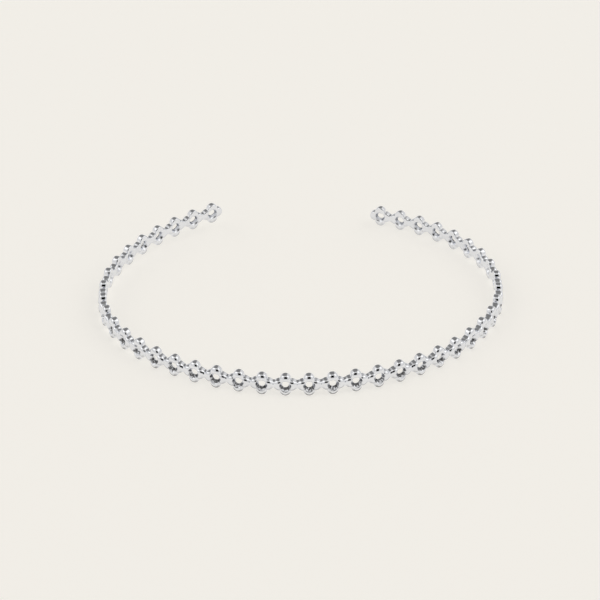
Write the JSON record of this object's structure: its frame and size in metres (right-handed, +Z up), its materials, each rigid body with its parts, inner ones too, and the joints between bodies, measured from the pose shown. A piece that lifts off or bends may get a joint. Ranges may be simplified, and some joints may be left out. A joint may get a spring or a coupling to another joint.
{
  "type": "open cuff bangle",
  "caption": "Open oval cuff bangle of polished silver, one row of pierced four-petal flowers joined petal to petal, with a wrist gap at the back.",
  "frame": {"origin": "under the middle of the bangle's box, on the surface that it lies on", "axes": "+X across the oval's width, +Y from the middle flower towards the wrist gap, +Z up from the surface"},
  "size_m": [0.0604, 0.0468, 0.005],
  "materials": {
    "polished_silver": "polished sterling silver"
  },
  "bodies": {
    "root": {"flower_band": "polished_silver"}
  },
  "joints": []
}
